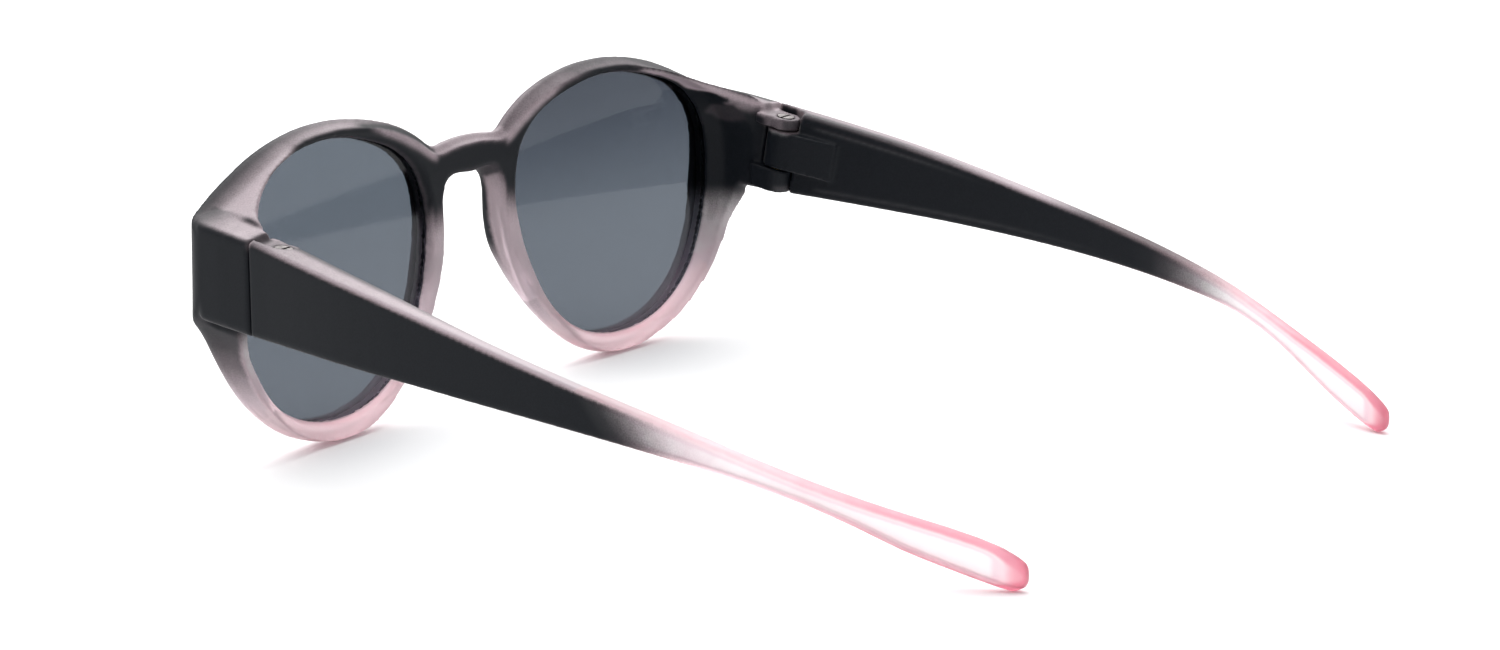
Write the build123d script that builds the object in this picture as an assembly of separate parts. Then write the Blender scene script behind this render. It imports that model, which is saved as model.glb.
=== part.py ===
from build123d import *
import math
import os

# Fitover sunglasses: a one-piece moulded front with two round lenses, and two
# folding arms on screw hinges.
#
# Frame of the part: +X to the wearer's left, +Y backwards along the arms,
# +Z up, millimetres. The glasses stand open on a flat surface, on the two rim
# bottoms and the two arm tips (z = 0). The origin is at the middle of the
# footprint. Everything below is written with y = 0 near the bottoms of the
# rims, then turned by TILT and moved by Y_SHIFT and Z_SHIFT at the end.

# ---------------------------------------------------------------- dimensions
TILT = 0.3226             # degrees about X, sets rims and arm tips down level
Y_SHIFT = -71.405         # puts the origin at the middle of the length
Z_SHIFT = -0.950          # and at the height of the surface it stands on

# front: rear edge of the lens opening lies on y = BACK_0 + BACK_Z*z + BACK_X2*x^2
BACK_0, BACK_Z, BACK_X2 = 4.92, -0.0658, 0.00053
FRONT_DEPTH = 4.4         # opening's rear edge to the front face
WIDEST = -1.9             # depth of the widest outline, from the rear edge
FRONT_ROUND = 2.4         # radius from there round to the front face
BACK_LIP = 1.0            # outer rear edge behind the opening's rear edge
NOSE_LIP = 0.3            # the same at the bridge
RIM_WRAP_X = 39.0         # middle of one lens
# the front is thinner over the nose: (x, widest outline and front round moved
# back, front face moved back); the bridge's rear face comes back with it
NOSE_SET = [(0, 1.8, 1.4), (8, 1.8, 1.25), (10, 1.75, 1.0), (14, 1.5, 0.65),
            (20, 1.0, 0.5), (28, 0.35, 0.25), (34, 0.0, 0.0), (80, 0.0, 0.0)]
NOSE_BACK = 0.6
# rounded front corner of the wing in plan (x, y)
CORNER = [(58, -0.3), (62, 0.05), (66, 0.65), (68, 1.15), (70, 2.1),
          (71.3, 3.2), (72.0, 4.3), (72.35, 5.6), (73.2, 9.0)]
# hollow of the rear face where it runs out to the wing (x, shift of y)
HOLLOW = [(53, -0.6), (60, -0.8), (63.5, 0.0), (66, 1.4), (67.5, 3.1)]

LENS_BACK = -0.8          # rear face of the lens, from the opening's rear edge
LENS_T = 1.9              # lens thickness
LENS_BITE = 0.9           # how far the lens reaches into its groove
LENS_GAP = 0.03           # clearance of the lens in its groove

# wing (end piece) and seam
HINGE_X = 73.0            # outer face of the wing at the seam: 146 mm front
SEAM_Y = 16.0
SEAM_GAP = 0.2
SEAM_TOP_OUT, SEAM_TOP_IN, SEAM_BOT = 40.7, 41.3, 25.6
WING_IN = 67.5

# hinge: axis leans back at the top, square to the arm but for a few degrees
PIVOT = (68.5, 18.4, 33.0)
AXIS_LEAN = 11.0
KNUCKLE_R = 2.8
POCKET_R = 3.1
TOP_LUG = (4.3, 6.3)      # spans along the axis
BOT_LUG = (-7.2, -3.1)
MID_KNUCKLE = (-2.8, 4.0)
SCREW_R = 0.7             # shank in the arm's knuckle
SCREW_RUN = 0.05          # running clearance there
HEAD_R, HEAD_H = 1.45, 0.9
INSERT_R = 1.35           # brass bush in the lower lug
INSERT_L = 2.1

# widest outline of one half of the front (x, z), from the bridge's top over
# the rim and round to the top of the nose arch
OUTLINE = [
    (0, 44.7), (2.8, 44.65), (5.6, 44.4), (8.0, 44.15), (9.7, 44.55),
    (11.3, 45.65), (14, 47.35), (17, 48.8), (20, 49.85), (24, 50.9),
    (28, 51.6), (32, 52.1), (36, 52.25), (40, 52.2), (44, 51.8),
    (48, 51.1), (52, 50.1), (56, 48.75), (60, 47.1), (64, 45.25),
    (66.2, 44.1), (68.3, 43.15), (70.6, 42.3), (72.0, 41.2), (72.4, 38.5),
    (72.45, 34.5), (72.4, 30.9), (71.9, 28.2), (70.6, 26.0), (68.7, 23.6),
    (66.9, 20.3),
    (64.9, 16.6), (62.3, 12.8), (59.3, 9.5), (55.6, 6.5), (51.4, 4.05),
    (47.1, 2.4), (43.1, 1.35), (39.2, 0.95), (35.2, 1.1), (31.3, 1.95),
    (27.4, 3.5), (23.9, 5.6), (20.8, 7.9), (18.3, 10.1), (15.9, 12.5),
    (13.8, 14.9), (11.9, 17.4), (10.3, 19.9), (9.0, 22.2), (7.9, 24.6),
    (7.2, 27.2), (6.85, 29.8), (6.8, 32.6), (6.7, 35.0), (6.0, 36.9),
    (4.3, 38.15), (2.1, 38.45), (0, 38.5)]

# lens opening at its rear edge (x, z, how far it flares out behind the edge)
OPENING_3 = [
    (65.2, 34.2, 1.75), (64.7, 37.4, 1.7), (63.3, 40.3, 1.3),
    (61.4, 42.6, 0.8), (58.8, 44.6, 0.55), (56.2, 45.9, 0.6),
    (52.8, 47.1, 0.8), (48.4, 48.3, 1.0), (44.4, 49.1, 1.1),
    (40.5, 49.55, 1.1), (36.3, 49.6, 1.15), (31.9, 49.1, 1.3),
    (26.8, 48.0, 1.5), (22.9, 46.8, 1.7), (19.6, 45.4, 1.75),
    (16.5, 43.4, 1.75), (14.1, 40.9, 1.75), (12.6, 37.7, 1.75),
    (11.9, 34.2, 1.75), (11.9, 30.4, 1.75), (12.6, 26.7, 1.75),
    (13.6, 23.1, 1.75), (15.1, 19.6, 1.75), (16.9, 16.1, 1.75),
    (19.1, 12.9, 1.6), (21.9, 10.1, 1.5), (25.2, 7.8, 1.5),
    (28.8, 6.2, 1.6), (32.7, 5.2, 1.75), (36.6, 4.75, 1.75),
    (40.5, 4.75, 1.75), (44.4, 5.2, 1.7), (48.1, 6.1, 1.5),
    (51.6, 7.5, 1.3), (54.8, 9.4, 1.15), (57.6, 11.8, 1.1),
    (59.9, 14.6, 1.1), (61.8, 17.8, 1.2), (63.2, 21.1, 1.45),
    (64.3, 24.4, 1.6), (64.9, 27.7, 1.75), (65.2, 31.0, 1.75)]
OPENING = [(x, z) for x, z, flare in OPENING_3]
FLARE = [flare for x, z, flare in OPENING_3]

# arm stations: y, outer face x, top z, bottom z, thickness, inner top above
# outer top, corner radius
ARM = [
    (16.2, 73.05, 40.7, 25.6, 5.4, 0.55, 0.9),
    (20, 73.5, 39.95, 25.3, 5.5, 0.5, 0.9),
    (26, 74.3, 38.75, 24.8, 5.4, 0.45, 0.9),
    (34, 75.2, 37.1, 24.07, 5.1, 0.35, 0.9),
    (42, 75.8, 35.4, 23.35, 4.7, 0.25, 0.9),
    (50, 76.1, 33.55, 22.6, 4.1, 0.15, 0.9),
    (60, 76.2, 31.1, 21.55, 3.4, 0.0, 0.8),
    (70, 76.1, 28.5, 20.45, 3.1, 0.0, 0.8),
    (80, 75.7, 25.9, 19.2, 3.0, 0.0, 0.8),
    (90, 74.9, 23.3, 17.75, 3.0, 0.0, 0.8),
    (100, 73.6, 20.4, 16.0, 3.0, 0.0, 0.8),
    (108, 72.1, 17.8, 14.3, 3.0, 0.0, 0.8),
    (116, 69.6, 15.0, 11.8, 3.1, 0.0, 0.85),
    (123, 66.9, 12.6, 8.75, 3.2, 0.0, 0.9),
    (129, 64.3, 10.7, 5.7, 3.2, 0.0, 1.0),
    (134, 61.9, 9.1, 3.55, 3.2, 0.0, 1.0),
    (138, 60.0, 7.7, 1.95, 3.1, 0.0, 1.0),
    (141.2, 58.5, 6.4, 0.75, 2.9, 0.0, 1.0),
    (143.4, 57.5, 5.2, 0.145, 2.5, 0.0, 0.9),
    (144.7, 56.8, 4.3, 0.75, 1.9, 0.0, 0.7),
    (145.2, 56.5, 3.4, 1.7, 1.2, 0.0, 0.4)]
ARM_STEP = 4.0            # stations between them on a smooth curve

LEFT_FOLD, RIGHT_FOLD = 87.0, 80.0   # degrees, the right arm lies outside

os.makedirs("parts", exist_ok=True)


# ------------------------------------------------------------------- helpers
def ramp(v, a, b, ya, yb):
    """Straight line from (a, ya) to (b, yb), level outside."""
    t = min(1.0, max(0.0, (v - a) / (b - a)))
    return ya + (yb - ya) * t


def offset_points(pts, inset, closed):
    """Points moved inwards (to the right of the direction of travel)."""
    n = len(pts)
    out = []
    for i, (x, z) in enumerate(pts):
        if closed:
            a, b = pts[i - 1], pts[(i + 1) % n]
        else:
            a, b = pts[max(i - 1, 0)], pts[min(i + 1, n - 1)]
        tx, tz = b[0] - a[0], b[1] - a[1]
        length = math.hypot(tx, tz)
        nx, nz = tz / length, -tx / length
        if not closed and i in (0, n - 1):
            nx, nz = 0.0, (-1.0 if i == 0 else 1.0)
        d = inset[i] if isinstance(inset, list) else inset
        out.append((x + nx * d, z + nz * d))
    return out


def rim_plane_y(x, z, d):
    """A plane that touches the rear surface at the middle of the lens."""
    slope = 2 * BACK_X2 * RIM_WRAP_X
    return (BACK_0 + BACK_X2 * RIM_WRAP_X ** 2 + BACK_Z * z
            + slope * (x - RIM_WRAP_X) + d)


def nose_set(x, column):
    """How far the front is set back over the nose."""
    for a, b in zip(NOSE_SET, NOSE_SET[1:]):
        if x <= b[0]:
            return ramp(x, a[0], b[0], a[column], b[column])
    return 0.0


def half_wire(pts, d, shaped=0.0):
    """Half outline closed by a line in the middle plane."""
    p3 = [(x, rim_plane_y(x, z, d)
           + shaped * nose_set(x, 1) * ramp(z, 38.8, 42.5, 0, 1), z)
          for x, z in pts]
    s = Edge.make_spline([Vector(*p) for p in p3])
    return Wire([s, Edge.make_line(s @ 1, s @ 0)])


def ring_wire(pts, d):
    p3 = [Vector(x, rim_plane_y(x, z, d), z) for x, z in pts]
    return Wire([Edge.make_spline(p3, periodic=True)])


def biggest(shape):
    return max(shape.solids(), key=lambda s: s.volume)


def one(shape, name):
    solids = shape.solids()
    s = max(solids, key=lambda q: q.volume)
    extra = [q.volume for q in solids if q is not s]
    print(name, "solids", len(solids), "volume", round(s.volume, 1),
          "valid", s.is_valid, "others", [round(v, 3) for v in extra])
    return s


def side_plane(side):
    """Plane across the hinge axis: local x is +X, local z the axis."""
    a = math.radians(AXIS_LEAN)
    return Plane(origin=(side * PIVOT[0], PIVOT[1], PIVOT[2]),
                 x_dir=(1, 0, 0), z_dir=(0, math.sin(a), math.cos(a)))


def axis_disc(side, r, w0, w1):
    pl = side_plane(side)
    c = Cylinder(r, w1 - w0, align=(Align.CENTER, Align.CENTER, Align.MIN))
    return pl * Pos(0, 0, w0) * c


# ------------------------------------------------------------- front, one half
def inset_back():
    """How far the outline closes in towards the rear, point by point."""
    res = []
    n = len(OUTLINE)
    for i, (x, z) in enumerate(OUTLINE):
        if i < 27:                      # bridge top, rim top, wing
            v = 1.4 if x < 62 else ramp(x, 62, 70.5, 1.4, 0.3)
            if x < 9:
                v = ramp(x, 4, 9, 1.1, 1.4)
            if z < 42.5:
                v = 0.15
        elif x > 60:                    # outer side of the rim
            v = 0.15
        elif z < 14:                    # bottom
            v = ramp(x, 15, 30, 0.8, 0.45)
        elif i < n - 4:                 # nose walls, splayed to the rear
            v = ramp(z, 14, 27, 0.8, 1.7)
        else:                           # arch
            v = (1.6, 0.9, 0.4, 0.2)[i - (n - 4)]
        res.append(v)
    return res


def inset_front(angle):
    """Inset of the outline where the front round has turned by angle."""
    full = FRONT_ROUND * (1 - math.cos(math.radians(angle)))
    res = []
    for i, (x, z) in enumerate(OUTLINE):
        if i < 27:
            k = 1.0 if x < 66 else ramp(x, 66, 71, 1.0, 0.5)
        elif x > 60:
            k = ramp(z, 18, 28, 1.0, 0.5)
        elif z < 14:
            k = 1.0
        else:                           # nose walls and arch
            k = ramp(z, 14, 24, 1.0, 0.45)
        res.append(full * k)
    return res


def make_half():
    ib = inset_back()
    wires = [half_wire(offset_points(OUTLINE, [
        1.15 * v + 0.2 for v in inset_front(90)], False), -7.5, 1.0)]
    for a in (90, 76, 60, 42, 22):
        wires.append(half_wire(
            offset_points(OUTLINE, inset_front(a), False),
            WIDEST - FRONT_ROUND * math.sin(math.radians(a)), 1.0))
    wires.append(half_wire(OUTLINE, WIDEST, 1.0))
    w_back = offset_points(OUTLINE, ib, False)
    wires += [half_wire(w_back, 1.0), half_wire(w_back, 14.0)]
    body = Solid.make_loft(wires, ruled=True)

    # slab between the front face and the rear face, section by section
    def slab_section(z, k, corner, hollow, nose):
        f = lambda x: BACK_0 + BACK_Z * z + BACK_X2 * x * x
        back = lambda x: f(x) + ramp(x, 10, 24, NOSE_LIP + nose * NOSE_BACK,
                                     BACK_LIP)
        lean = 0.03 * (z - 34)
        fr = [Vector(x, f(x) - FRONT_DEPTH + nose * nose_set(x, 2), z)
              for x in (0, 7, 13, 20, 30, 41, 52)]
        for x, y in CORNER:
            flat = f(x) - FRONT_DEPTH
            fr.append(Vector(x, flat + corner * (y + lean - flat), z))
        bk = [Vector(x, back(x), z) for x in (0, 6, 12, 18, 25, 35, 46)]
        line = lambda x: f(46) + BACK_LIP + k * (x - 46)
        run = [bk[-1]] + [Vector(x, line(x) + hollow * d, z)
                          for x, d in HOLLOW]
        end = Vector(73.2, line(73.2) + hollow * 1.5, z)
        e1 = Edge.make_spline(fr)
        e2 = Edge.make_line(fr[-1], end)
        e3 = Edge.make_line(end, run[-1])
        e4 = Edge.make_spline(list(reversed(run)))
        e5 = Edge.make_spline(list(reversed(bk)))
        e6 = Edge.make_line(bk[0], fr[0])
        return Wire([e1, e2, e3, e4, e5, e6])

    slab = Solid.make_loft([
        slab_section(-2, 0.12, 0.0, 0.0, 0.0),
        slab_section(19, 0.14, 0.1, 0.0, 0.0),
        slab_section(26, 0.2, 0.9, 0.35, 0.0),
        slab_section(32, 0.27, 1.0, 1.0, 0.4),
        slab_section(40, 0.345, 1.0, 1.0, 0.85),
        slab_section(56, 0.345, 1.0, 1.0, 1.0)], ruled=True)
    rim = biggest(body & slab)

    # wing: box from the rim's corner back to the seam
    def wing_wire(y, xi, xo, zti, zto, zb, r):
        pts = [(xi, zti), (xo, zto), (xo, zb), (xi, zb)]
        face = Plane.XZ.offset(-y) * make_face(Polyline(*pts, close=True))
        return fillet(face.vertices(), r).faces()[0].outer_wire()

    wing = Solid.make_loft([
        wing_wire(3.9, 65.0, 71.3, 43.6, 42.5, 27.8, 1.2),
        wing_wire(5.5, 65.4, 72.3, 43.5, 42.25, 26.9, 0.9),
        wing_wire(9.5, 66.4, 72.65, 42.8, 41.75, 26.4, 0.9),
        wing_wire(SEAM_Y, WING_IN, HINGE_X, SEAM_TOP_IN, SEAM_TOP_OUT,
                  SEAM_BOT, 0.8)], ruled=True)
    # the rim stays below the wing's sloping top outside the crease
    cut = Solid.make_loft([
        Wire.make_polygon([(66.9, 4.6, 43.15), (80, 4.6, 40.6), (80, 4.6, 60),
                           (66.9, 4.6, 60)]),
        Wire.make_polygon([(67.7, 20, 40.3), (80, 20, 38.9), (80, 20, 60),
                           (67.7, 20, 60)])], ruled=True)
    under = Solid.make_loft([
        Wire.make_polygon([(72.6, 2.2, 27.4), (80, 2.2, 27.4), (80, 2.2, 0),
                           (72.6, 2.2, 0)]),
        Wire.make_polygon([(69.9, 6.6, 27.0), (80, 6.6, 27.0), (80, 6.6, 0),
                           (69.9, 6.6, 0)]),
        Wire.make_polygon([(66.8, 20, 25.4), (80, 20, 25.4), (80, 20, 0),
                           (66.8, 20, 0)])], ruled=True)
    # and its top falls towards the seam
    fall = Plane.YZ.offset(56) * make_face(Polyline(
        (7.6, 46.5), (11, 43.45), (16, 41.45), (20, 40.0), (20, 60),
        (7.6, 60), close=True))
    rim = biggest(rim - cut - under - extrude(fall, 20))
    half = rim + wing
    half = biggest(half)

    # lens opening, flared towards the rear, with the groove for the lens
    def grow(v):
        # the opening runs anticlockwise, so its right-hand side is outside
        return offset_points(OPENING, v, True)

    opening = Solid.make_loft([
        ring_wire(grow(1.0), -8.0), ring_wire(grow(0.0), -3.9),
        ring_wire(grow(0.0), -0.2), ring_wire(grow(FLARE), 2.4),
        ring_wire(grow([f + 0.2 for f in FLARE]), 14.0)], ruled=True)
    half = half - opening
    groove = Solid.make_loft([
        ring_wire(grow(LENS_BITE + LENS_GAP), LENS_BACK - LENS_T - LENS_GAP),
        ring_wire(grow(LENS_BITE + LENS_GAP), LENS_BACK + LENS_GAP)],
        ruled=True)
    half = half - groove
    lens = Solid.make_loft([
        ring_wire(grow(LENS_BITE), LENS_BACK - LENS_T),
        ring_wire(grow(LENS_BITE), LENS_BACK)], ruled=True)
    return half, lens


def lug_neck(w0, w1, side):
    """Straight root of a lug, from the disc forward into the wing."""
    pl = side_plane(side)
    b = Box(2 * KNUCKLE_R, 4.6, w1 - w0,
            align=(Align.CENTER, Align.MAX, Align.MIN))
    return pl * Pos(0, 0, w0) * b


half, lens = make_half()
half = biggest(half)
print("half", half.volume, half.is_valid)

# hinge lugs on the left wing; the arm's knuckle turns in the scoop between
scoop = axis_disc(1, POCKET_R, BOT_LUG[1], TOP_LUG[0])
half = half - scoop
for w0, w1 in (TOP_LUG, BOT_LUG):
    lug = axis_disc(1, KNUCKLE_R, w0, w1)
    neck = lug_neck(w0, w1, 1)
    half = half + lug + (neck & (Pos(68.5, 15.6, 33) * Box(5.6, 4.4, 30)))
half = half - axis_disc(1, SCREW_R + 0.06, 4.0, 6.6)       # upper lug bore
half = half - axis_disc(1, HEAD_R + 0.06, TOP_LUG[1] - HEAD_H - 0.05, 9.0)
half = half - axis_disc(1, INSERT_R, BOT_LUG[1] - INSERT_L, BOT_LUG[1] + 0.5)
half = half - axis_disc(1, SCREW_R + 0.15, -8.0, BOT_LUG[1])
half = one(half, "half front")

other = half.mirror(Plane.YZ)
front = one(half + other, "frame_front")

# --------------------------------------------------------------------- lenses
lens_l = lens
lens_r = lens.mirror(Plane.YZ)


# ----------------------------------------------------------------------- arms
def arm_wire(st):
    y, xo, zt, zb, t, rise, r = st
    pts = [(xo, zt), (xo, zb), (xo - t, zb), (xo - t, zt + rise)]
    face = Plane.XZ.offset(-y) * make_face(Polyline(*pts, close=True))
    return fillet(face.vertices(), r).faces()[0].outer_wire()


def smooth_stations(rows, step):
    """Rows between the given ones, on a smooth curve through them."""
    out = []
    for i in range(len(rows) - 1):
        a, b = rows[i], rows[i + 1]
        before = rows[max(i - 1, 0)]
        after = rows[min(i + 2, len(rows) - 1)]
        h = b[0] - a[0]
        n = max(1, math.ceil(h / step))
        for j in range(n):
            t = j / n
            row = [a[0] + t * h]
            for c in range(1, len(a)):
                da = (b[c] - before[c]) / (b[0] - before[0]) * h
                db = (after[c] - a[c]) / (after[0] - a[0]) * h
                row.append((2 * t ** 3 - 3 * t ** 2 + 1) * a[c]
                           + (t ** 3 - 2 * t ** 2 + t) * da
                           + (3 * t ** 2 - 2 * t ** 3) * b[c]
                           + (t ** 3 - t ** 2) * db)
            out.append(tuple(row))
    return out + [rows[-1]]


arm = Solid.make_loft([arm_wire(s) for s in smooth_stations(ARM, ARM_STEP)],
                      ruled=True)
print("arm blade", arm.volume, arm.is_valid)
# room for the two frame lugs, open upwards and downwards
for w0, w1 in ((TOP_LUG[0] - 0.3, 12.0), (-12.0, BOT_LUG[1] + 0.3)):
    arm = arm - axis_disc(1, POCKET_R, w0, w1)
    pl = side_plane(1)
    slot = Box(2 * POCKET_R, 8, w1 - w0,
               align=(Align.CENTER, Align.MAX, Align.MIN))
    arm = arm - (pl * Pos(0, 0, w0) * slot)
# the arm's own knuckle; inside the axis the blade starts behind it
knuckle = axis_disc(1, KNUCKLE_R, *MID_KNUCKLE)
pl = side_plane(1)
w0, w1 = MID_KNUCKLE
clear = (pl * Pos(-10, -10, -15) * Box(10, 10, 30,
         align=(Align.MIN, Align.MIN, Align.MIN)))
arm = arm - clear
shoulder = make_face(Polyline((-KNUCKLE_R, 0), (-2.72, 1.0), (-2.2, 3.2),
                              (0.2, 11.0), (3.6, 11.0), (3.6, 0),
                              close=True))
web = pl * Pos(0, 0, w0) * extrude(shoulder, w1 - w0)
arm = arm + knuckle + web
arm = arm - axis_disc(1, SCREW_R + SCREW_RUN, -12, 12)
arm = one(arm, "temple")
arm_r = arm.mirror(Plane.YZ)


# -------------------------------------------------- hinge screws and inserts
def hinge_screw():
    top = TOP_LUG[1] - HEAD_H
    shank = axis_disc(1, SCREW_R, BOT_LUG[0] + 0.2, top + 0.3)
    head = axis_disc(1, HEAD_R, top, TOP_LUG[1])
    slot = side_plane(1) * Pos(0, 0, TOP_LUG[1] - 0.4) * Box(
        4, 0.45, 1.0, align=(Align.CENTER, Align.CENTER, Align.MIN))
    return one((shank + head) - slot, "screw")


def hinge_insert():
    body = axis_disc(1, INSERT_R - 0.0, BOT_LUG[1] - INSERT_L, BOT_LUG[1])
    return one(body - axis_disc(1, SCREW_R, -9, 0), "insert")


screw = hinge_screw()
insert = hinge_insert()

nodes = {
    "frame_front": front,
    "lens_left": lens_l,
    "lens_right": lens_r,
    "temple_left": arm,
    "temple_right": arm_r,
    "hinge_screw_left": screw,
    "hinge_screw_right": screw.mirror(Plane.YZ),
    "hinge_insert_left": insert,
    "hinge_insert_right": insert.mirror(Plane.YZ),
}
lo = [1e9] * 3
hi = [-1e9] * 3
for name, shape in nodes.items():
    s = shape.moved(Location((0, Y_SHIFT, Z_SHIFT), (TILT, 0, 0)))
    bb = s.bounding_box()
    print(name, [round(v, 3) for v in bb.min], [round(v, 3) for v in bb.max])
    for i, (a, b) in enumerate(zip(bb.min, bb.max)):
        lo[i] = min(lo[i], a)
        hi[i] = max(hi[i], b)
    export_step(s, f"parts/{name}.step")
print("box", [round(v, 3) for v in lo], [round(v, 3) for v in hi],
      "middle y", round((lo[1] + hi[1]) / 2, 3))
c, n = math.cos(math.radians(TILT)), math.sin(math.radians(TILT))
print("pivot", PIVOT[0], round(PIVOT[1] * c - PIVOT[2] * n + Y_SHIFT, 4),
      round(PIVOT[1] * n + PIVOT[2] * c + Z_SHIFT, 4), "axis",
      round(math.sin(math.radians(AXIS_LEAN - TILT)), 6),
      round(math.cos(math.radians(AXIS_LEAN - TILT)), 6))
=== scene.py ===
import math

import bpy
import numpy as np
from mathutils import Matrix, Vector


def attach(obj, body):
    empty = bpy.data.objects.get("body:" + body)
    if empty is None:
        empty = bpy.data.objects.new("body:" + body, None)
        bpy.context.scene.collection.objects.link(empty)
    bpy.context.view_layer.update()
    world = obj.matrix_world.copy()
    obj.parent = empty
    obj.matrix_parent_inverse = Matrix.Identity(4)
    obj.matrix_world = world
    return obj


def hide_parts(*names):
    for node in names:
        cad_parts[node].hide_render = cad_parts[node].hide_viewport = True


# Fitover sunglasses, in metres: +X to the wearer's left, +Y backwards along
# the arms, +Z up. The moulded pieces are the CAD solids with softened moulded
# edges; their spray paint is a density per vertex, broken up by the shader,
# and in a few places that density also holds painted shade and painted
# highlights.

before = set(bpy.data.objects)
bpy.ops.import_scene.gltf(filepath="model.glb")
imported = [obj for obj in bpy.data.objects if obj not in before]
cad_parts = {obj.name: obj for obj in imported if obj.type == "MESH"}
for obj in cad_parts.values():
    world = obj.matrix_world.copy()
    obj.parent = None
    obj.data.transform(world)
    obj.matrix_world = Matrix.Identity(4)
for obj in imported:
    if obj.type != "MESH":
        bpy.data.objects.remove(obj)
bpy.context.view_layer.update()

# the drawing frame of the CAD source (mm), for places along the parts
TILT = math.radians(0.3226)
SHIFT_Y, SHIFT_Z = -71.405, -0.950


def drawing(co):
    """Positions in metres to the drawing's x, y, z in mm."""
    m = co * 1000.0
    y, z = m[:, 1] - SHIFT_Y, m[:, 2] - SHIFT_Z
    c, s = math.cos(TILT), math.sin(TILT)
    return m[:, 0], y * c + z * s, -y * s + z * c


def ss(a, b, v):
    """Smooth step from 0 at a to 1 at b (a may be above b)."""
    t = np.clip((v - a) / (b - a), 0.0, 1.0)
    return t * t * (3 - 2 * t)


def mix(a, b, t):
    return a * (1 - t) + b * t


# ---------------------------------------------------------------- materials
class Net:
    """A short way to write a node tree."""

    def __init__(self, name):
        self.mat = bpy.data.materials.new(name)
        self.mat.use_nodes = True
        self.nt = self.mat.node_tree
        self.nt.nodes.clear()
        self.out = self.nt.nodes.new("ShaderNodeOutputMaterial")

    def node(self, kind, **values):
        n = self.nt.nodes.new(kind)
        for k, v in values.items():
            setattr(n, k, v)
        return n

    def put(self, socket, v):
        if isinstance(v, bpy.types.NodeSocket):
            self.nt.links.new(v, socket)
        else:
            socket.default_value = v

    def math(self, op, a, b=0.5, c=0.5, clamp=False):
        n = self.node("ShaderNodeMath", operation=op, use_clamp=clamp)
        self.put(n.inputs[0], a)
        self.put(n.inputs[1], b)
        self.put(n.inputs[2], c)
        return n.outputs[0]

    def noise(self, co, scale, detail=2.0, rough=0.5, distortion=0.0):
        n = self.node("ShaderNodeTexNoise")
        self.put(n.inputs["Vector"], co)
        n.inputs["Scale"].default_value = scale
        n.inputs["Detail"].default_value = detail
        n.inputs["Roughness"].default_value = rough
        n.inputs["Distortion"].default_value = distortion
        return n.outputs["Fac"]

    def mixed(self, fac, a, b):
        n = self.node("ShaderNodeMix", data_type="RGBA")
        self.put(n.inputs[0], fac)
        self.put(n.inputs[6], a)
        self.put(n.inputs[7], b)
        return n.outputs[2]

    def band(self, v, lo, hi, to_lo=0.0, to_hi=1.0):
        n = self.node("ShaderNodeMapRange", interpolation_type="SMOOTHSTEP")
        self.put(n.inputs["Value"], v)
        n.inputs["From Min"].default_value = lo
        n.inputs["From Max"].default_value = hi
        n.inputs["To Min"].default_value = to_lo
        n.inputs["To Max"].default_value = to_hi
        return n.outputs["Result"]

    def attribute(self, name):
        n = self.node("ShaderNodeAttribute", attribute_name=name)
        return n.outputs["Fac"]

    def bump(self, height, strength, distance):
        n = self.node("ShaderNodeBump")
        n.inputs["Strength"].default_value = strength
        n.inputs["Distance"].default_value = distance
        self.put(n.inputs["Height"], height)
        return n.outputs["Normal"]

    def coords(self):
        return self.node("ShaderNodeTexCoord").outputs["Object"]


def frosted_painted():
    """Frosted pink plastic under matte black spray paint; the paint density
    also holds painted shade and painted highlights.
    """
    m = Net("frosted_pink_sprayed_black")
    co = m.coords()
    paint_and_painted_light = m.attribute("paint_and_painted_light")
    deep = m.attribute("deep")
    fine = m.noise(co, 4200.0, 2.0, 0.6)
    cloud = m.noise(co, 420.0, 2.0, 0.5)
    # the spray breaks up into specks where it is thin
    open_ = m.math("MULTIPLY", paint_and_painted_light, m.math("SUBTRACT", 1.0, paint_and_painted_light))
    specks = m.math("MULTIPLY", m.math("SUBTRACT", fine, 0.5), 1.5)
    clouds = m.math("MULTIPLY", m.math("SUBTRACT", cloud, 0.5), 0.5)
    both = m.math("ADD", specks, clouds)
    cover = m.math("MULTIPLY_ADD", open_, both, paint_and_painted_light, clamp=True)
    # plastic: pale where thin and flat, deeper along edges and thick runs
    grain = m.math("MULTIPLY_ADD", m.math("SUBTRACT", cloud, 0.5), 0.12, deep,
                   clamp=True)
    pink = m.mixed(m.band(grain, 0.0, 0.22), (0.99, 0.965, 0.97, 1),
                   (0.88, 0.705, 0.765, 1))
    pink = m.mixed(m.band(grain, 0.28, 0.55), pink, (1.0, 0.765, 0.805, 1))
    pink = m.mixed(m.band(grain, 0.55, 1.0), pink, (0.84, 0.25, 0.34, 1))
    black = m.mixed(m.band(fine, 0.3, 0.7), (0.0036, 0.0048, 0.0072, 1),
                    (0.0062, 0.0078, 0.0108, 1))
    colour = m.mixed(cover, pink, black)
    b = m.node("ShaderNodeBsdfPrincipled")
    m.put(b.inputs["Base Color"], colour)
    rough = m.math("MULTIPLY_ADD", cover, 0.14, 0.36)
    rough = m.math("MULTIPLY_ADD", m.math("SUBTRACT", fine, 0.5), 0.12, rough)
    m.put(b.inputs["Roughness"], rough)
    b.inputs["IOR"].default_value = 1.49
    b.inputs["Specular IOR Level"].default_value = 0.14
    clear = m.math("SUBTRACT", 1.0, cover)
    m.put(b.inputs["Transmission Weight"], m.math("MULTIPLY", clear, 0.66))
    m.put(b.inputs["Normal"], m.bump(m.noise(co, 4200.0, 2.0, 0.5), 0.35,
                                     0.00003))
    m.nt.links.new(b.outputs[0], m.out.inputs["Surface"])
    return m.mat


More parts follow.
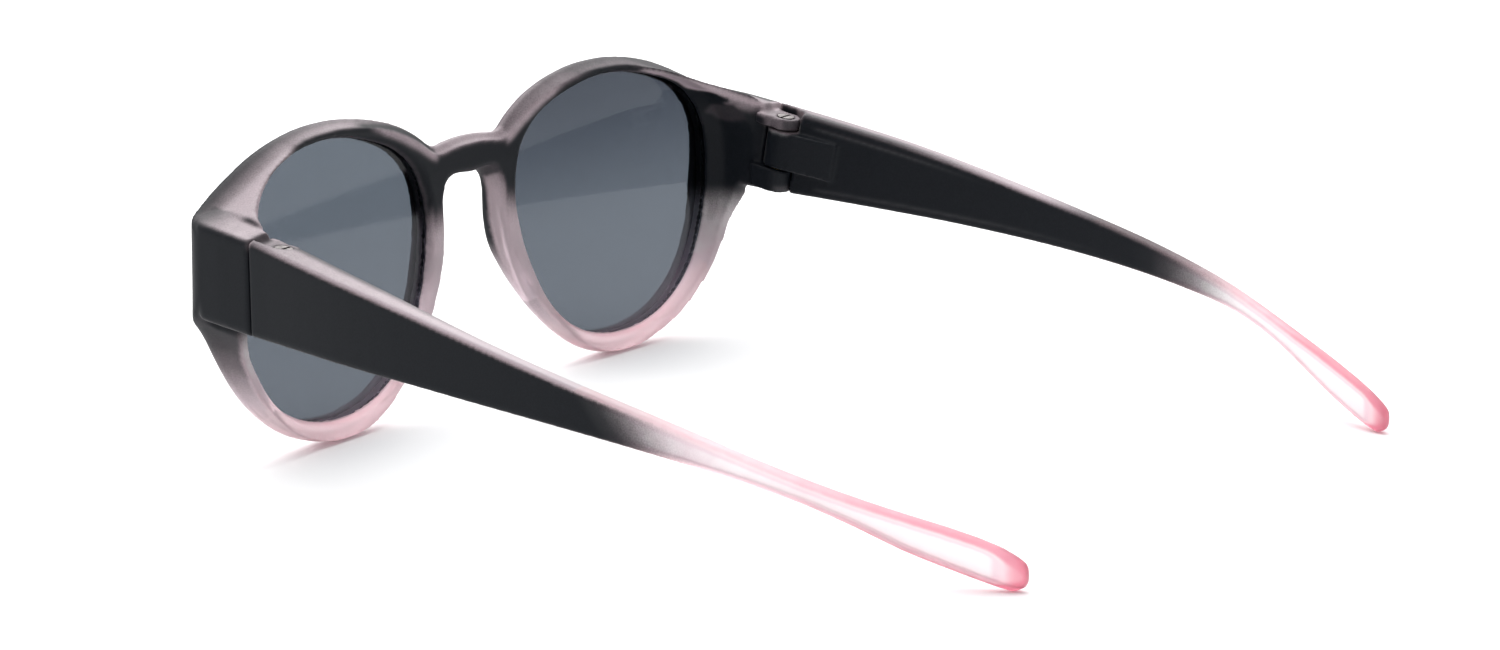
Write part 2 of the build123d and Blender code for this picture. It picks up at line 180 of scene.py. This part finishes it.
def smoke_lens(name, top):
    """Smoke tint, darker towards the top by an amount given per lens, with a
    clean polished face.
    """
    m = Net(name)
    co = m.coords()
    sep = m.node("ShaderNodeSeparateXYZ")
    m.put(sep.inputs[0], co)
    low = m.band(sep.outputs["Z"], 0.004, 0.030)
    high = m.band(sep.outputs["Z"], 0.022, 0.049)
    tint = m.mixed(low, (0.296, 0.318, 0.347, 1), (0.280, 0.303, 0.332, 1))
    tint = m.mixed(high, tint, top)
    veil = m.noise(co, 30.0, 1.0, 0.4)
    tint = m.mixed(m.math("MULTIPLY", veil, 0.10), tint,
                   (0.32, 0.335, 0.36, 1))
    through = m.node("ShaderNodeBsdfTransparent")
    m.put(through.inputs["Color"], tint)
    gloss = m.node("ShaderNodeBsdfGlossy")
    gloss.inputs["Color"].default_value = (0.97, 0.98, 1.0, 1)
    m.put(gloss.inputs["Roughness"],
          m.band(m.noise(co, 900.0, 2.0, 0.5), 0.35, 0.75, 0.035, 0.075))
    lw = m.node("ShaderNodeLayerWeight")
    lw.inputs["Blend"].default_value = 0.5
    f5 = m.math("POWER", lw.outputs["Facing"], 4.0)
    fres = m.math("MULTIPLY_ADD", f5, 0.55, 0.012, clamp=True)
    mx = m.node("ShaderNodeMixShader")
    m.put(mx.inputs[0], fres)
    m.nt.links.new(through.outputs[0], mx.inputs[1])
    m.nt.links.new(gloss.outputs[0], mx.inputs[2])
    m.nt.links.new(mx.outputs[0], m.out.inputs["Surface"])
    return m.mat


def metal(name, colour, other, rough):
    """Turned metal with fine rings' worth of wear and a few dull spots."""
    m = Net(name)
    co = m.coords()
    wear = m.noise(co, 1400.0, 3.0, 0.6)
    lines = m.noise(co, 6000.0, 1.0, 0.5, 0.4)
    b = m.node("ShaderNodeBsdfPrincipled")
    m.put(b.inputs["Base Color"], m.mixed(m.band(wear, 0.35, 0.7), colour,
                                          other))
    b.inputs["Metallic"].default_value = 1.0
    m.put(b.inputs["Roughness"], m.band(wear, 0.3, 0.75, rough, rough + 0.2))
    m.put(b.inputs["Normal"], m.bump(lines, 0.25, 0.00001))
    m.nt.links.new(b.outputs[0], m.out.inputs["Surface"])
    return m.mat


def floor_stuff():
    m = Net("pale_floor")
    co = m.coords()
    b = m.node("ShaderNodeBsdfPrincipled")
    n = m.noise(co, 9.0, 2.0, 0.5)
    m.put(b.inputs["Base Color"], m.mixed(n, (0.93, 0.93, 0.93, 1),
                                          (0.95, 0.95, 0.95, 1)))
    b.inputs["Roughness"].default_value = 0.75
    b.inputs["Specular IOR Level"].default_value = 0.1
    m.nt.links.new(b.outputs[0], m.out.inputs["Surface"])
    return m.mat


PLASTIC = frosted_painted()
# the right lens's top colour is darker than the left's: painted shade, the
# lenses being alike
LENS = {"left": smoke_lens("smoke_grey_lens_left", (0.262, 0.288, 0.318, 1)),
        "right": smoke_lens("smoke_grey_lens_right", (0.175, 0.193, 0.222, 1))}
STEEL = metal("hinge_steel", (0.16, 0.145, 0.14, 1), (0.10, 0.09, 0.09, 1),
              0.38)
BRASS = metal("hinge_brass", (0.80, 0.60, 0.28, 1), (0.60, 0.42, 0.18, 1),
              0.28)


# ------------------------------------------------------- softened mouldings
def softened(node, name, body, voxel, rounds):
    """The node's solid as an even mesh with its edges rounded."""
    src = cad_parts[node]
    ob = bpy.data.objects.new(name, src.data.copy())
    bpy.context.scene.collection.objects.link(ob)
    weld = ob.modifiers.new("weld", "WELD")
    weld.merge_threshold = 0.000001
    rem = ob.modifiers.new("even", "REMESH")
    rem.mode = "VOXEL"
    rem.voxel_size = voxel
    rem.adaptivity = 0.0
    rem.use_smooth_shade = True
    sm = ob.modifiers.new("soft", "SMOOTH")
    sm.factor = 0.5
    sm.iterations = rounds
    dg = bpy.context.evaluated_depsgraph_get()
    me = bpy.data.meshes.new_from_object(ob.evaluated_get(dg))
    ob.modifiers.clear()
    old = ob.data
    ob.data = me
    me.name = name
    bpy.data.meshes.remove(old)
    me.shade_smooth()
    me.materials.clear()
    me.materials.append(PLASTIC)
    print(name, "faces", len(me.polygons), "vertices", len(me.vertices))
    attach(ob, body)
    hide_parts(node)
    return ob


def arrays(me):
    n = len(me.vertices)
    co = np.empty(n * 3, np.float32)
    no = np.empty(n * 3, np.float32)
    me.vertices.foreach_get("co", co)
    me.vertex_normals.foreach_get("vector", no)
    return co.reshape(-1, 3).astype(float), no.reshape(-1, 3).astype(float)


def evened(me, values, rounds):
    """Values averaged with their neighbours along the mesh's edges."""
    ne = len(me.edges)
    e = np.empty(ne * 2, np.int32)
    me.edges.foreach_get("vertices", e)
    a, b = e[0::2], e[1::2]
    n = len(values)
    count = np.bincount(a, minlength=n) + np.bincount(b, minlength=n)
    count = np.maximum(count, 1)
    v = values.astype(float)
    for _ in range(rounds):
        total = (np.bincount(a, weights=v[b], minlength=n)
                 + np.bincount(b, weights=v[a], minlength=n))
        v = 0.4 * v + 0.6 * total / count
    return v


def store(me, name, values, rounds=2):
    v = evened(me, np.clip(values, 0, 1), rounds)
    a = me.attributes.new(name, "FLOAT", "POINT")
    a.data.foreach_set("value", np.clip(v, 0, 1).astype(np.float32))


# pivot of the left hinge and its axis in the drawing frame
PIVOT = np.array([68.5, 18.4, 33.0])
AXIS = np.array([0.0, math.sin(math.radians(11)), math.cos(math.radians(11))])


def from_axis(x, y, z):
    """Distance from the hinge axis and height along it."""
    p = np.stack([np.abs(x), y, z], 1) - PIVOT
    w = p @ AXIS
    return np.linalg.norm(p - w[:, None] * AXIS, axis=1), w


def streaks(v, seed):
    """Thin irregular stripes along a coordinate, from -1 to 1."""
    return (0.5 * np.sin(v * 5.3 + seed) + 0.3 * np.sin(v * 9.1 + 2.1 * seed)
            + 0.2 * np.sin(v * 15.7 + 3.7 * seed))


def paint_front(ob):
    me = ob.data
    co, no = arrays(me)
    x, y, z = drawing(co)
    s = np.where(x < 0, -1.0, 1.0)
    X = np.abs(x)
    nx, ny, nz = no[:, 0] * s, no[:, 1], no[:, 2]
    rear = 4.92 - 0.0658 * z + 0.00053 * X * X      # opening's rear edge
    d = y - rear
    # faces that look back: black above, bare below, lower at the temples
    mid = mix(30.5, 22.3, ss(18, 52, X))
    back = ss(mid - 5.0, mid + 4.0, z + 1.2 * streaks(X, 1.3) * ss(24, 14, X))
    # faces that look forward
    front = ss(7.0, 25.0, z)
    # outer sides of the rims: spray from the front thins towards the rear
    steps = [-4.4, -3.4, -2.4, -1.3, -0.3, 1.0, 2.0, 4.0]
    nasal = np.where(
        x > 0,
        np.interp(d, steps, [1.0, 1.0, 0.98, 0.88, 0.58, 0.42, 0.42, 0.42]),
        mix(np.interp(d, steps, [0.90, 0.86, 0.82, 0.78, 0.74, 0.70, 0.68,
                                 0.66]),
            np.interp(d, steps, [1.0, 0.99, 0.97, 0.93, 0.87, 0.74, 0.70,
                                 0.70]), ss(15, 28, X)))
    top_side = mix(
        nasal - 0.12 * np.exp(-((x - 31.0) / 8.0) ** 2) * ss(-3.4, -1.0, d)
        + 0.25 * ss(44, 53, -x),
        np.interp(d, steps, [1.0, 1.0, 0.99, 0.95, 0.84, 0.64, 0.54, 0.50]),
        ss(42, 54, X))
    low_side = np.interp(z, [5.0, 9.0, 12.0, 15.0, 18.0, 22.0, 26.0],
                         [0.02, 0.14, 0.38, 0.66, 0.86, 0.96, 1.0])
    upper = ss(27.0, 33.0, z)
    side = mix(low_side, top_side, upper * ss(0.15, 0.45, nz))
    # nose walls: a dark front strip, then thin spray that ends half way
    nose = (X < 15) & (nx < -0.25) & (z < 38.6) & (ny < 0.8)
    strip = ss(-1.7, -2.5, d) * ss(14.0, 26.0, z)
    wall = np.interp(z + 1.5 * streaks(d * 1.4, 0.7),
                     [14, 22, 27, 30.5, 34, 37],
                     [0.0, 0.0, 0.03, 0.16, 0.60, 1.0])
    # painted highlight: a lighter band along the middle of the nose walls,
    # made by thinning the paint
    light = ss(35.5, 33.5, z) * np.exp(-((d + 1.4) / 0.8) ** 2)
    nose_p = np.maximum(strip, wall * (0.70 + 0.30 * ss(-1.0, 1.2, d))
                        * (1 - 0.5 * light))
    # which way the surface looks
    wf = ss(0.35, 0.75, -ny)
    wb = ss(0.30, 0.62, ny)
    # the outer top stays bare right up to the ridge at the temples
    ridge = (X > 44) & (z > 37) & (nz > 0)
    wb = np.where(ridge, mix(wb, ss(0.62, 0.30, nz) * (ny > 0),
                             ss(44, 52, X)), wb)
    wb = np.where(nose, ss(0.68, 0.90, ny), wb)
    p = side.copy()
    p = np.where(nose, nose_p, p)
    p = mix(p, front, wf)
    p = mix(p, back, wb)
    # inside of the lens opening takes what the rear face has, thinner
    inner = (nx * (X - 39) + nz * (z - 27.5) < 0) & (X > 9) & (X < 67) \
        & (np.abs(ny) < 0.45) & (~nose) & (d > -4.2) \
        & (nz < np.where(z > 30, 0.5, 2.0))
    p = np.where(inner, back * mix(0.94, 1.0, ss(45, 55, X)), p)
    # underside of the bridge arch is black
    arch = (X < 9) & (nz < -0.4) & (z > 36.5)
    p = np.where(arch, 0.97, p)
    # bridge: a bare ledge on top behind a grey front edge
    ledge = (X < 10) & (nz > 0.4) & (z > 42)
    p = np.where(ledge, mix(np.interp(d, [-3.2, -2.3, -1.3, -0.3],
                                      [1.0, 0.90, 0.68, 0.55]), back,
                            ss(0.62, 0.9, ny)), p)
    # a darker patch where the bridge meets the rims
    valley = np.exp(-((X - 10.5) / 1.4) ** 2) * (nz > 0.3) * (z > 42)
    p = np.maximum(p, 0.95 * valley * (x > 0))
    # over the nose the rim's top edge is dark, and just below it the rear face
    # has a pale strip: painted highlight of a chamfer along the edge
    nose_z = np.interp(X, [8, 9.7, 11.3, 14, 17, 20, 24, 28],
                       [42.9, 43.3, 44.2, 45.8, 47.25, 48.4, 49.55, 50.25])
    below = nose_z - z
    strip_w = np.interp(X, [9.5, 11, 16, 22, 27], [1.1, 1.3, 1.25, 0.8, 0.2])
    bare_and_highlight = (X > 9) & (X < 28) & (z > 40) & (ny > 0.45) & (nz < 0.8)
    p = np.where(bare_and_highlight, mix(p, 0.52, ss(8.8, 10.2, X) * ss(27.5, 22, X)
                           * ss(-0.15, 0.15, below)
                           * ss(strip_w + 0.25, strip_w - 0.15, below)), p)
    rimtop = (x > 9) & (x < 32) & (z > 42) & (nz > 0.3) & (d > -1.2)
    p = np.where(rimtop, mix(p, 1.0, ss(-0.6, 0.0, d) * ss(0.15, -0.15, below)
                             * ss(31, 27, X)), p)
    # wings
    wing = (X > 64.5) & (z > 25.2) & (y > 3.0)
    face = wing & (nx > 0.2) & (y < 15.7) & ((X > 70.0) | (z < 40.0))
    p = np.where(face, mix(p, 1.0, ss(0.30, 0.55, nx)), p)
    crease = mix(66.3, 67.7, np.clip((y - 5.5) / 9.5, 0, 1))
    top = (nz > 0.30) & (X > crease - 0.5) & (y > 3.6) & (z > 38)
    bare_and_highlight = np.interp(y, [3.6, 5.5, 7.5, 10.0, 14.0, 15.9],
                     [0.97, 0.93, 0.80, 0.60, 0.50, 0.62])
    edge = ss(0.62, 0.30, nx)
    p = np.where(top, mix(1.0, bare_and_highlight, edge * ss(0.35, 0.55, nz)), p)
    # painted shade: a darker line of paint along the crease on the wing's top
    painted_crease_shade = np.exp(-((X - crease) / 0.30) ** 2) * ss(4.0, 6.5, y) \
        * (nz > 0.3) * (z > 39.5)
    p = np.maximum(p, 0.82 * painted_crease_shade)
    inside = (X > 57) & (X < 70) & (nx < -0.3) & (y > 7.0) & (z > 24) \
        & (nz < 0.45)
    lines = 0.5 + 0.5 * np.sin(z * 5.2)
    p = np.where(inside, back, p)
    # the ridge that runs out to the wing has a pale line along its edge
    ridge_z = np.interp(X, [44, 47.7, 51.6, 55.5, 59.4, 61.5, 63.5, 65, 66,
                            67, 67.8],
                        [50.2, 49.55, 48.6, 47.3, 45.65, 44.9, 44.0, 43.2,
                         42.65, 42.1, 41.8])
    e = ridge_z - z
    behind = (X > 45) & (X < 67.9) & (z > 40.5) & (d > 0.6) & (nz < 0.75)
    shade = behind & (e > 1.0) & (nx < -0.15) & (X > 52) & (z > 31)
    p = np.where(shade, 1.0, p)
    pale_line = ss(0.28, 0.50, e) * ss(1.40, 1.15, e) * ss(46, 50, X)
    p = np.where(behind, mix(p, 0.08, pale_line), p)
    band = (X > 64) & (X < 68.2) & (z > 39.6) & (y > 9.5) & (nx < -0.3)
    p = np.where(band, mix(p, 0.72 + 0.14 * lines,
                           ss(1.4, 1.6, e) * ss(2.9, 2.4, e)), p)
    p = np.where(behind & (x < 0), mix(p, 0.97, ss(0.40, 0.22, e)
                                       * ss(45, 50, X)), p)
    far_top = (x < 0) & (nz > 0.2) & (X > 42) & (X < 68) & (z > 40.5) \
        & ((e < 0.0) | (d < 0.6))
    p = np.where(far_top, mix(p, 0.97, ss(43, 51, X)), p)
    outer_top = (x < 0) & (nz > 0.3) & (X > 67.6) & (y > 6) & (z > 39.5)
    p = np.where(outer_top, mix(0.66, 0.97, ss(69.4, 70.4, X)), p)
    # over the nose the far rim's rounded top is thinly sprayed
    p = np.where((x < -8) & (X < 36) & (z > 42) & (nz > 0.3) & (d > -2.6),
                 np.minimum(p, mix(1.0, mix(0.90, 0.80, ss(-1.2, 0.3, d)),
                                   ss(0.3, 0.6, nz)
                                   * ss(35, 26, X))), p)
    under = wing & (nz < -0.35)
    p = np.where(under, mix(p, mix(0.97, 0.84, ss(6, 9, y)),
                            ss(0.4, 0.7, -nz) * ss(-0.1, 0.5, nx)), p)
    p = np.where(under & (nx < 0.1), 0.97, p)
    # seam face, lugs and the scoop between them
    r, w = from_axis(x, y, z)
    seam = (X > 66) & (y > 15.55) & (ny > 0.35)
    bare_top = ss(38.6, 39.6, z)
    p = np.where(seam, mix(0.96, np.where(
        x < 0, mix(0.72, 0.0, ss(69.2, 70.2, X)), 0.93), bare_top), p)
    near = (r < 3.7) & (y > 13.5) & ~face & ~seam
    # painted shade: the bare top lug in the pocket is darkened with paint, a
    # little less where it faces up
    p = np.where(near & (w > 3.9), mix(0.88, 0.76, ss(0.3, 0.9, nz)), p)
    p = np.where(near & (w > 5.0) & (r < 1.9), 0.95, p)
    p = np.where(near & (w <= 3.9), 1.0, p)
    hinge = (X > 63) & (X < 72.2) & (y > 11.5) & (z < 38.6) & (z > 26.6) \
        & (nx < 0.5) & (w <= 3.9)
    p = np.where(hinge, 1.0, p)
    corner = (nx > 0.2) & (y > 15.2) & (X > 70) & (z < 39.5) & (nz < 0.4)
    p = np.where(corner, 1.0, p)
    low_edge = (nx > 0.25) & (nz < -0.1) & (z > 24.5) & (y > 4) & (X > 69)
    p = np.where(low_edge, np.maximum(p, 0.985), p)
    store(me, "paint_and_painted_light", p, 3)
    # deeper colour in the thick lower rims and along their edges
    low_z = ss(16.0, 3.0, z)
    deep = 0.20 + 0.36 * low_z \
        + 0.16 * ss(0.3, 0.9, -nz) * ss(16, 4, z) \
        + 0.05 * streaks(d * 1.1, 2.2) * low_z
    # the face of the lower rims is paler between its deeper edge lines
    q = np.hypot((X - 38.5) / 26.7, (z - 27.2) / 22.4)
    face_deep = (0.52 + 0.20 * np.exp(-((q - 1.015) / 0.018) ** 2)
                 + 0.16 * np.exp(-((q - 1.085) / 0.012) ** 2)
                 + 0.18 * ss(1.11, 1.15, q) + 0.06 * streaks(q * 60, 2.2))
    deep = mix(deep, np.clip(face_deep, 0.0, 1.0),
               ss(0.2, 0.55, ny) * ss(20.0, 10.0, z))
    deep = np.where(ledge | top, 0.20, deep)
    deep = np.where((X > 60) & (z < 30) & (nx < 0), 0.5 * deep, deep)
    store(me, "deep", deep, 4)


def paint_arm(ob, left):
    me = ob.data
    co, no = arrays(me)
    x, y, z = drawing(co)
    s = np.where(x < 0, -1.0, 1.0)
    X = np.abs(x)
    nx, ny, nz = no[:, 0] * s, no[:, 1], no[:, 2]
    # the paint on the outside ends on a slant, further back at the bottom
    slant = 0.9 * (z - np.interp(y, [80, 90, 100, 110],
                                 [22.55, 20.5, 18.2, 16.0]))
    seen = np.interp(y + slant, [82, 85.5, 88, 90.5, 93, 95.5, 98, 101, 105],
                     [1.0, 0.98, 0.92, 0.79, 0.60, 0.40, 0.21, 0.08, 0.01])
    far = np.interp(y, [88, 92, 95, 98, 101, 104, 107, 110, 114],
                    [1.0, 0.995, 0.97, 0.91, 0.80, 0.60, 0.35, 0.12, 0.0])
    hidden = np.interp(y, [70, 77, 84, 92], [1.0, 0.85, 0.35, 0.0])
    outer, inner = (seen, hidden) if left else (hidden, far)
    p = mix(inner, outer, ss(-0.2, 0.2, nx))
    # top edge: bare outside, sprayed towards the inner edge
    face_x = np.interp(y, [16, 20, 26, 34, 42, 50, 60, 70, 80, 90],
                       [73.05, 73.5, 74.3, 75.2, 75.8, 76.1, 76.2, 76.1,
                        75.7, 74.9])
    thick = np.interp(y, [16, 20, 26, 34, 42, 50, 60, 70],
                      [5.4, 5.5, 5.4, 5.1, 4.7, 4.1, 3.4, 3.1])
    u = (face_x - X) / thick
    rim_p = np.interp(y, [16, 40, 52, 66, 80], [0.97, 0.93, 0.78, 0.25, 0.05])
    base = np.interp(y, [16, 18.5, 22, 30, 40, 50, 60, 68],
                     [0.90, 0.80, 0.66, 0.58, 0.48, 0.34, 0.12, 0.03])
    top = np.maximum(base, rim_p * ss(0.22, 0.85, u))
    # the right arm's top edge gets more paint than the left's: heavier spray
    # there, with painted shade on top of it
    if not left:
        top = np.maximum(top, rim_p * ss(0.0, 0.8, u))
        top = np.maximum(top, 0.9 * inner * ss(60, 80, y))
    high = np.interp(y, [16, 26, 34, 42, 50, 60, 70, 80, 90, 120],
                     [40.7, 38.75, 37.1, 35.4, 33.55, 31.1, 28.5, 25.9, 23.3,
                      13.5])
    p = mix(p, top, ss(0.42, 0.62, nz) * ss(118, 100, y)
            * ss(high - 2.4, high - 1.4, z))
    under = np.interp(y, [16, 60, 80, 95], [0.97, 0.94, 0.70, 0.0])
    p = mix(p, under * np.maximum(outer, inner), ss(0.80, 0.95, -nz))
    # thin moulded lines on the inner face, parallel to the top edge
    rise = np.interp(y, [16, 26, 34, 42, 50, 60, 70, 80, 90],
                     [40.7, 38.75, 37.1, 35.4, 33.55, 31.1, 28.5, 25.9, 23.3])
    low = np.interp(y, [16, 26, 42, 60, 80, 90],
                    [25.6, 24.8, 23.35, 21.55, 19.2, 17.75])
    inside = ss(-0.6, -0.9, nx) * ss(24, 27, y)
    line = np.exp(-((z - (rise - 1.5)) / 0.16) ** 2) * ss(60, 40, y)
    p = p - 0.05 * line * inside
    line = np.exp(-((z - (low + 1.5)) / 0.18) ** 2) * ss(90, 50, y)
    p = p - 0.035 * line * inside
    r, w = from_axis(x, y, z)
    # painted shade: at the open top of the hinge pocket the bare plastic is
    # painted nearly black; the rest of the pocket is painted black
    pocket = (r < 3.6) & (y < 24) & (u > 0.35)
    p = np.where(pocket, np.where((w > 3.6) & (r < 3.3), 0.85, 1.0), p)
    face = (ny < -0.5) & (y < 17.0)
    bare_top = ss(38.6, 39.6, z)
    p = np.where(face, mix(0.98, 0.30 if not left else 0.6, bare_top), p)
    p = np.where((nx > 0.2) & (y < 17.2) & (z < 39.8) & (nz < 0.4), 1.0, p)
    store(me, "paint_and_painted_light", p, 2)
    ys = [16, 50, 60, 70, 80, 90, 100, 108, 116, 123, 129, 134, 138, 141.2,
          143.4, 144.7, 145.2]
    tops = [40.7, 33.55, 31.1, 28.5, 25.9, 23.3, 20.4, 17.8, 15.0, 12.6,
            10.7, 9.1, 7.7, 6.4, 5.2, 4.3, 3.4]
    bots = [25.6, 22.6, 21.55, 20.45, 19.2, 17.75, 16.0, 14.3, 11.8, 8.75,
            5.7, 3.55, 1.95, 0.75, 0.145, 0.75, 1.7]
    away = np.minimum(np.interp(y, ys, tops) - z, z - np.interp(y, ys, bots))
    edge = ss(1.25, 0.25, away)
    tip = ss(100, 140, y)
    deep = 0.015 + edge * (0.66 + 0.34 * tip) + 0.85 * ss(140.0, 144.0, y) \
        + 0.10 * ss(80, 88, y) * ss(107, 99, y) * (1 - edge)
    deep = np.where((nz > 0.5) & (y < 80), 0.20, deep)
    store(me, "deep", deep, 2)


front = softened("frame_front", "front_moulding", "front", 0.00036, 5)
paint_front(front)
for side in ("left", "right"):
    arm = softened("temple_" + side, "arm_moulding_" + side, "arm_" + side,
                   0.00030, 5)
    paint_arm(arm, side == "left")

for side in ("left", "right"):
    for node, stuff in (("lens_" + side, LENS[side]),
                        ("hinge_screw_" + side, STEEL),
                        ("hinge_insert_" + side, BRASS)):
        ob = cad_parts[node]
        ob.data.materials.clear()
        ob.data.materials.append(stuff)

# --------------------------------------------------------- floor, light, view
me = bpy.data.meshes.new("floor")
n, size = 24, 4.0
verts = [((i / n - 0.5) * size, (j / n - 0.5) * size, -0.00005)
         for j in range(n + 1) for i in range(n + 1)]
faces = [(j * (n + 1) + i, j * (n + 1) + i + 1, (j + 1) * (n + 1) + i + 1,
          (j + 1) * (n + 1) + i) for j in range(n) for i in range(n)]
me.from_pydata(verts, [], faces)
me.materials.append(floor_stuff())
floor = bpy.data.objects.new("floor", me)
bpy.context.scene.collection.objects.link(floor)

world = bpy.data.worlds.new("studio")
bpy.context.scene.world = world
world.use_nodes = True
wn = world.node_tree
wn.nodes.clear()
wo = wn.nodes.new("ShaderNodeOutputWorld")
bg = wn.nodes.new("ShaderNodeBackground")
bg.inputs["Color"].default_value = (0.985, 0.99, 1.0, 1)
bg.inputs["Strength"].default_value = 0.72
seen = wn.nodes.new("ShaderNodeBackground")
seen.inputs["Color"].default_value = (1, 1, 1, 1)
seen.inputs["Strength"].default_value = 1.0
lp = wn.nodes.new("ShaderNodeLightPath")
ms = wn.nodes.new("ShaderNodeMixShader")
wn.links.new(lp.outputs["Is Camera Ray"], ms.inputs[0])
wn.links.new(bg.outputs[0], ms.inputs[1])
wn.links.new(seen.outputs[0], ms.inputs[2])
wn.links.new(ms.outputs[0], wo.inputs["Surface"])


def area(name, where, target, size_x, size_y, power):
    lamp = bpy.data.lights.new(name, "AREA")
    lamp.shape = "RECTANGLE"
    lamp.size, lamp.size_y = size_x, size_y
    lamp.energy = power
    ob = bpy.data.objects.new(name, lamp)
    bpy.context.scene.collection.objects.link(ob)
    ob.location = where
    ob.rotation_mode = "QUATERNION"
    ob.rotation_quaternion = (Vector(target) - Vector(where)).to_track_quat(
        "-Z", "Y")
    return ob


area("softbox_top", (-0.24, -0.42, 1.05), (0, 0, 0), 1.5, 1.5, 17.0)
area("softbox_back", (-1.00, -0.55, 0.75), (0, 0, 0.02), 1.0, 0.8, 5.2)
area("softbox_side", (0.35, -1.10, 0.60), (0, 0, 0.02), 0.8, 0.6, 2.8)

# camera, worked out from the two halves being mirror images
az, el, roll = (math.radians(v) for v in (124.769, 12.394, -0.754))
back = Vector((math.sin(az) * math.cos(el), -math.cos(az) * math.cos(el),
               math.sin(el)))
right = Vector((0, 0, 1)).cross(back).normalized()
up = back.cross(right)
r2 = right * math.cos(roll) + up * math.sin(roll)
u2 = -right * math.sin(roll) + up * math.cos(roll)
place = Matrix(((r2.x, u2.x, back.x, 0.6120), (r2.y, u2.y, back.y, 0.4837),
                (r2.z, u2.z, back.z, 0.1825), (0, 0, 0, 1)))
place = (Matrix.Translation((0, SHIFT_Y / 1000, SHIFT_Z / 1000))
         @ Matrix.Rotation(TILT, 4, "X") @ place)
cam = bpy.data.cameras.new("camera")
cam.sensor_width = 36.0
cam.lens = 36.0 * 4729.8 / 1500.0
cam.clip_start, cam.clip_end = 0.05, 20.0
cam_ob = bpy.data.objects.new("camera", cam)
bpy.context.scene.collection.objects.link(cam_ob)
cam_ob.matrix_world = place
bpy.context.scene.camera = cam_ob

scene = bpy.context.scene
scene.view_settings.view_transform = "Standard"
scene.view_settings.look = "None"
scene.view_settings.exposure = 0.0
